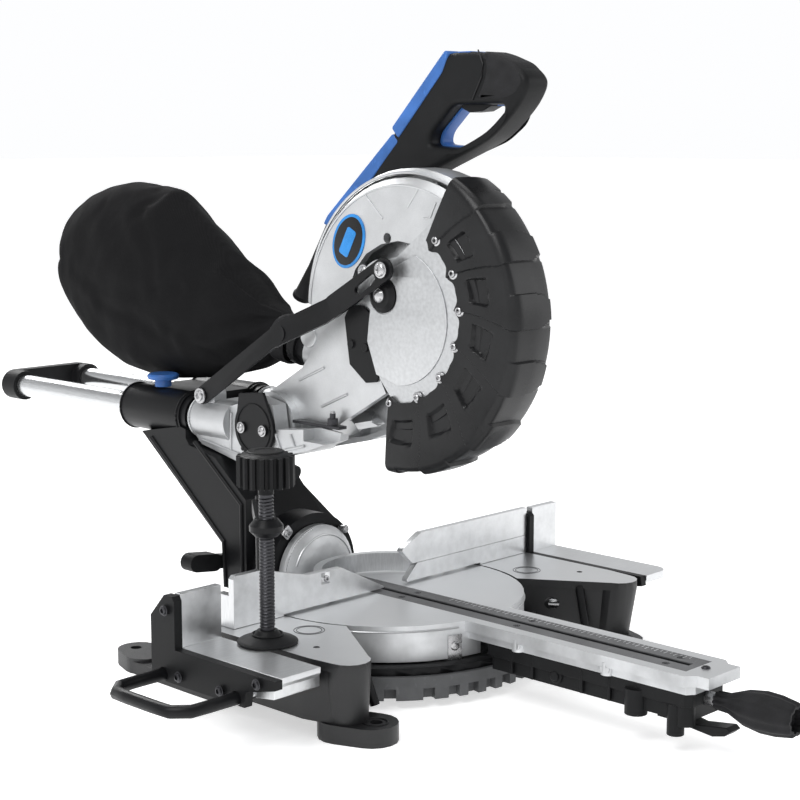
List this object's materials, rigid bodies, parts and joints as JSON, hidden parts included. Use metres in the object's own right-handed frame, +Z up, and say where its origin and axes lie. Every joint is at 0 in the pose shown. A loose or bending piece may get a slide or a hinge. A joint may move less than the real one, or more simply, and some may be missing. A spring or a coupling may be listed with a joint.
{
  "type": "mitre saw",
  "caption": "Sliding compound mitre saw: bench base with fence, swivelling table, bevelling column, slide rails and a pivoting saw head with guard and dust bag.",
  "frame": {"origin": "centre of the bounding box at bench level", "axes": "+Z is up, +Y is the rear along the rails, +X is the operator's right"},
  "size_m": [0.605, 1.033, 0.594],
  "materials": {
    "base_paint": "satin black paint, machined silver on the top faces",
    "cast_silver": "fine cast aluminium, silver coated",
    "machined": "brushed and machined aluminium",
    "steel": "ground steel",
    "black_plastic": "fine moulded grain",
    "shell_plastic": "dark grey moulded plastic, slight sheen",
    "black_paint": "satin black powder coat",
    "grey_plastic": "mid grey moulded plastic",
    "blue_plastic": "blue moulded plastic",
    "grip_rubber": "matt black rubber",
    "bag_cloth": "woven black nylon"
  },
  "bodies": {
    "base": {"base_casting": "base_paint", "detent_ring": "grey_plastic", "mitre_scale": "black_plastic", "fence": "cast_silver", "right_fence_upper": "cast_silver"},
    "fence_knob": {"fence_lock_knob": "black_plastic"},
    "left_extension": {"left_end_plate": "black_plastic", "left_extension_table": "machined", "left_bail_rod": "black_paint"},
    "right_extension": {"right_inner_plate": "black_plastic", "right_extension_table": "machined", "right_guide_rods": "steel"},
    "clamp_post": {"clamp_arm": "black_paint"},
    "clamp_foot": {"clamp_pad": "black_plastic"},
    "clamp_spindle": {"clamp_screw": "steel", "clamp_knob": "black_plastic"},
    "turntable": {"turntable": "cast_silver", "turntable_pivot_bolt": "steel", "kerf_insert": "grey_plastic", "arm_underbody": "black_plastic", "bevel_pivot_bolt": "steel"},
    "mitre_lock": {"mitre_lock_rod": "steel", "mitre_lock_grip": "grip_rubber"},
    "detent_lever": {"detent_lever": "black_plastic"},
    "column": {"bevel_column": "black_paint", "left_rail_bush": "grey_plastic", "right_rail_bush": "grey_plastic"},
    "slide_lock": {"slide_lock_knob": "blue_plastic"},
    "bevel_lock": {"bevel_lock_lever": "black_plastic"},
    "carriage": {"left_rail": "steel", "right_rail": "steel", "rail_end_cap": "black_plastic", "pivot_bracket": "cast_silver", "pivot_pin": "steel", "pivot_cover": "black_plastic", "laser_module": "black_plastic", "depth_stop": "black_paint", "link_pivot_pin": "steel"},
    "link": {"link_arm": "black_paint"},
    "head": {"head_casting": "cast_silver", "guard_stop_plate": "black_paint", "gear_case": "cast_silver", "motor_housing": "black_plastic", "front_brush_cap": "black_plastic", "rear_brush_cap": "black_plastic", "cord_gland": "grip_rubber", "dust_spout": "black_plastic", "handle": "black_plastic", "handle_spine": "blue_plastic", "dust_bag": "bag_cloth"},
    "blade": {"saw_blade": "steel", "spindle": "steel", "outer_flange": "steel", "arbor_bolt": "steel"},
    "lower_guard": {"guard_disc": "machined", "guard_shell": "shell_plastic", "guard_pivot_bolt": "black_paint"},
    "trigger": {"trigger": "black_plastic"},
    "lock_off": {"lock_off_button": "blue_plastic"},
    "spindle_lock": {"spindle_lock_button": "black_plastic"}
  },
  "joints": [
    {"name": "mitre", "type": "hinge", "parent": "base", "child": "turntable", "pos_m": [0.0415, -0.0545, 0.072], "axis": [0, 0, 1], "range_deg": [-41, 41]},
    {"name": "bevel", "type": "hinge", "parent": "turntable", "child": "column", "pos_m": [0.0415, 0.0515, 0.072], "axis": [0, -1, 0], "range_deg": [0, 38]},
    {"name": "slide", "type": "slide", "parent": "column", "child": "carriage", "axis": [0, -1, 0], "range_m": [0, 0.2]},
    {"name": "head_tilt", "type": "hinge", "parent": "carriage", "child": "head", "pos_m": [0.0415, 0.0735, 0.225], "axis": [1, 0, 0], "range_deg": [0, 45], "stiffness_Nm_per_rad": 14, "springref_deg": -74.48},
    {"name": "blade_spin", "type": "hinge", "parent": "head", "child": "blade", "pos_m": [0.0415, -0.0975, 0.346], "axis": [1, 0, 0], "continuous": true},
    {"name": "lower_guard", "type": "hinge", "parent": "head", "child": "lower_guard", "pos_m": [0.0415, -0.0805, 0.366], "axis": [-1, 0, 0], "range_deg": [0, 88]},
    {"name": "link_swing", "type": "hinge", "parent": "carriage", "child": "link", "pos_m": [-0.0185, 0.1465, 0.251], "axis": [1, 0, 0], "range_deg": [0, 36.9]},
    {"name": "trigger", "type": "slide", "parent": "head", "child": "trigger", "axis": [0, 0, 1], "range_m": [0, 0.004], "stiffness_N_per_m": 300},
    {"name": "lock_off", "type": "slide", "parent": "head", "child": "lock_off", "axis": [0, 0, -1], "range_m": [0, 0.003], "stiffness_N_per_m": 300},
    {"name": "spindle_lock", "type": "slide", "parent": "head", "child": "spindle_lock", "axis": [-1, 0, 0], "range_m": [0, 0.004], "stiffness_N_per_m": 300},
    {"name": "slide_lock", "type": "hinge", "parent": "column", "child": "slide_lock", "pos_m": [-0.0035, 0.2355, 0.249], "axis": [0, 0, 1], "range_deg": [0, 180]},
    {"name": "bevel_lock", "type": "hinge", "parent": "column", "child": "bevel_lock", "pos_m": [0.0415, 0.1255, 0.072], "axis": [0, 1, 0], "range_deg": [0, 10]},
    {"name": "mitre_lock", "type": "hinge", "parent": "turntable", "child": "mitre_lock", "pos_m": [0.0415, -0.4195, 0.047], "axis": [0, -1, 0], "range_deg": [0, 180]},
    {"name": "detent", "type": "hinge", "parent": "turntable", "child": "detent_lever", "pos_m": [0.0415, -0.3885, 0.0255], "axis": [1, 0, 0], "range_deg": [0, 12], "stiffness_Nm_per_rad": 0.6},
    {"name": "fence_knob", "type": "hinge", "parent": "base", "child": "fence_knob", "pos_m": [0.1915, -0.0345, 0.096], "axis": [0, 1, 0], "range_deg": [0, 180]},
    {"name": "left_extend", "type": "slide", "parent": "base", "child": "left_extension", "axis": [-1, 0, 0], "range_m": [0, 0.08]},
    {"name": "right_extend", "type": "slide", "parent": "base", "child": "right_extension", "axis": [1, 0, 0], "range_m": [0, 0.038]},
    {"name": "clamp_height", "type": "slide", "parent": "base", "child": "clamp_post", "axis": [0, 0, 1], "range_m": [0, 0.03]},
    {"name": "clamp_turn", "type": "hinge", "parent": "clamp_foot", "child": "clamp_spindle", "pos_m": [-0.1635, -0.1065, 0.15], "axis": [0, 0, 1], "range_deg": [0, 3600]},
    {"name": "clamp_feed", "type": "slide", "parent": "clamp_post", "child": "clamp_foot", "axis": [0, 0, 1], "range_m": [0, 0.03]}
  ],
  "couplings": [
    {"joint": "lower_guard", "follows": "head_tilt", "ratio": 1.95},
    {"joint": "link_swing", "follows": "head_tilt", "ratio": 0.785},
    {"joint": "clamp_feed", "follows": "clamp_turn", "m_per_rad": 0.00047746}
  ]
}
